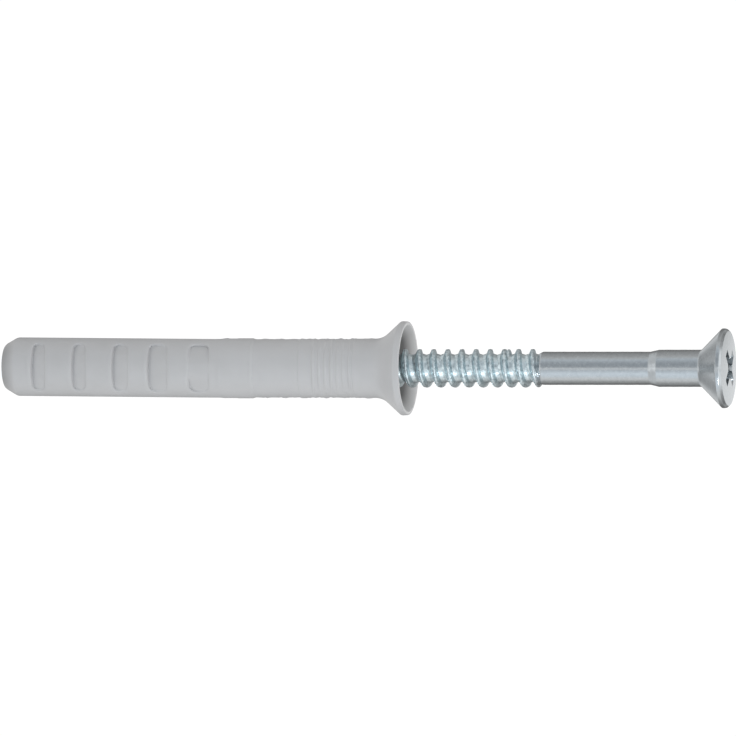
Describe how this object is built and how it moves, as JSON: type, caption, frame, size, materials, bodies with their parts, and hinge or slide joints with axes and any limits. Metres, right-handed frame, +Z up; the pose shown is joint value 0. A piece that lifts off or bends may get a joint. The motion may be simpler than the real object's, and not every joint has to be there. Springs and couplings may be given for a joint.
{
  "type": "wall anchor",
  "caption": "Hammer-set wall anchor: a grey plastic plug with a countersunk collar and two expansion legs, and a zinc-plated nail screw started in its bore.",
  "frame": {"origin": "on the anchor's axis, where the plug's straight shank meets the underside of its countersunk collar", "axes": "+X along the axis out of the wall, towards the nail's head; -X into the wall, towards the plug's tip; +Z up, in the plane of the slit between the legs; the legs open towards -Y and +Y"},
  "size_m": [0.1001, 0.0126, 0.0126],
  "materials": {
    "plug_plastic": "light grey moulded polyamide, satin matt, with parting-line flash",
    "zinc_plated_steel": "bright zinc plating, satin, faintly blue"
  },
  "bodies": {
    "plug": {"plug_sleeve": "plug_plastic"},
    "leg_front": {"expansion_leg_front": "plug_plastic"},
    "leg_back": {"expansion_leg_back": "plug_plastic"},
    "nail": {"nail_screw": "zinc_plated_steel"}
  },
  "joints": [
    {"name": "nail_drive", "type": "slide", "parent": "plug", "child": "nail", "axis": [-1, 0, 0], "range_m": [0, 0.0438]},
    {"name": "leg_front_spread", "type": "hinge", "parent": "plug", "child": "leg_front", "pos_m": [-0.0186, -0.00406, 0], "axis": [0, 0, 1], "range_deg": [0, 2]},
    {"name": "leg_back_spread", "type": "hinge", "parent": "plug", "child": "leg_back", "pos_m": [-0.0186, 0.00406, 0], "axis": [0, 0, -1], "range_deg": [0, 2]}
  ],
  "couplings": [
    {"joint": "leg_front_spread", "follows": "nail_drive", "rad_per_m": 0.79695},
    {"joint": "leg_back_spread", "follows": "nail_drive", "rad_per_m": 0.79695}
  ]
}
